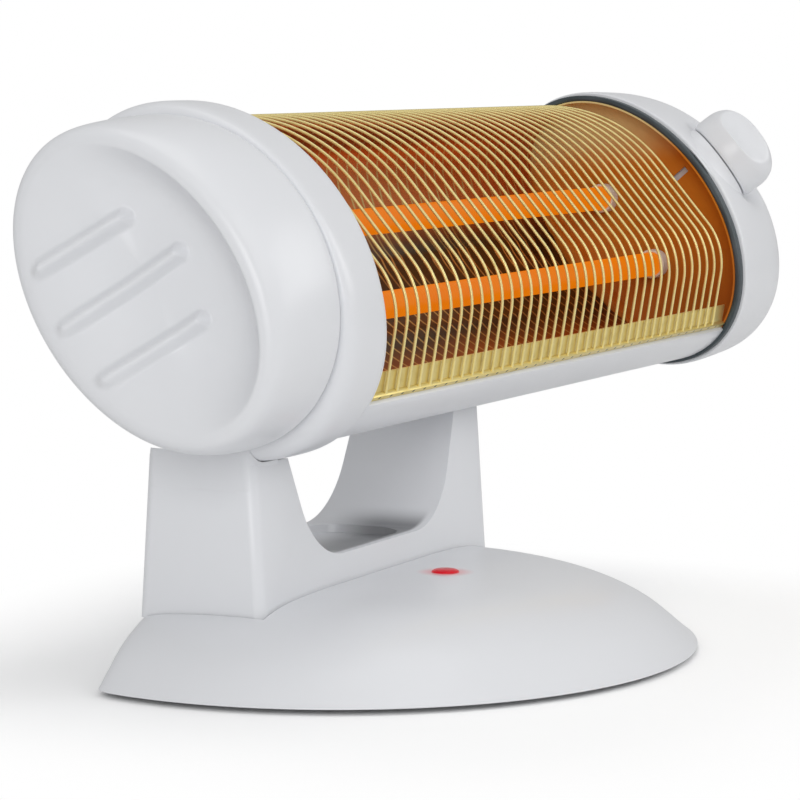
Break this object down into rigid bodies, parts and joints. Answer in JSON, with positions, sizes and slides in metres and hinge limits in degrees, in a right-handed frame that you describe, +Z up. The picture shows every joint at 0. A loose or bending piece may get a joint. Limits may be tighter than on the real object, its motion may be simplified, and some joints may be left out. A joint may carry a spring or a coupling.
{
  "type": "halogen heater",
  "caption": "Oval halogen heating head with a wire guard and mirror reflector on a U-shaped stand and a domed base with a pilot light.",
  "frame": {"origin": "on the floor below the middle of the heater's overall box", "axes": "+Z up, +X along the head towards the control knob, -Y towards the front that the heat leaves by"},
  "size_m": [0.5021, 0.201, 0.2006],
  "materials": {
    "shell_white": "gloss",
    "grey_plastic": "satin",
    "black_plastic": "satin",
    "grey_rubber": "matte",
    "cast_ballast": "rough",
    "steel": "zinc plated",
    "pilot_lens": "clear red",
    "gold_mirror": "polished",
    "gold_wire": "gold plated",
    "dark_seal": "satin",
    "quartz": "clear",
    "glowing_coil": "glowing",
    "white_ceramic": "matte"
  },
  "bodies": {
    "base": {"base_shell": "shell_white", "base_plate": "grey_plastic", "feet": "grey_rubber", "ballast": "cast_ballast", "plate_screws": "steel", "lens": "pilot_lens", "lamp_holder": "black_plastic", "cord_inlet": "grey_plastic", "terminal_block": "black_plastic", "tip_switch": "black_plastic", "switch_bracket": "steel", "stand": "shell_white", "stand_screws": "steel", "hinge_pins": "steel"},
    "plunger": {"tip_plunger": "shell_white"},
    "head": {"tilt_lugs": "steel", "casing": "shell_white", "left_collar": "shell_white", "left_cap": "shell_white", "left_plate": "gold_mirror", "right_plate": "gold_mirror", "seal_ring": "dark_seal", "right_cap": "shell_white", "end_screws": "steel", "reflector": "gold_mirror", "guard_wires": "gold_wire", "guard_rails": "gold_wire", "quartz_tubes": "quartz", "filaments": "glowing_coil", "ceramics": "white_ceramic", "thermal_cutout": "black_plastic", "rotary_switch": "black_plastic"},
    "control": {"knob": "shell_white", "control_shaft": "steel"}
  },
  "joints": [
    {"name": "head_tilt", "type": "hinge", "parent": "base", "child": "head", "pos_m": [0, 0.0419, 0.068], "axis": [1, 0, 0], "range_deg": [-20, 0]},
    {"name": "knob_turn", "type": "hinge", "parent": "head", "child": "control", "pos_m": [0.2081, 0.00763, 0.16835], "axis": [0.4067, -0.6947, 0.5933], "range_deg": [0, 180]},
    {"name": "tip_plunger_slide", "type": "slide", "parent": "base", "child": "plunger", "axis": [0, 0, 1], "range_m": [-0.004, 0], "stiffness_N_per_m": 40, "springref_m": -0.004}
  ]
}
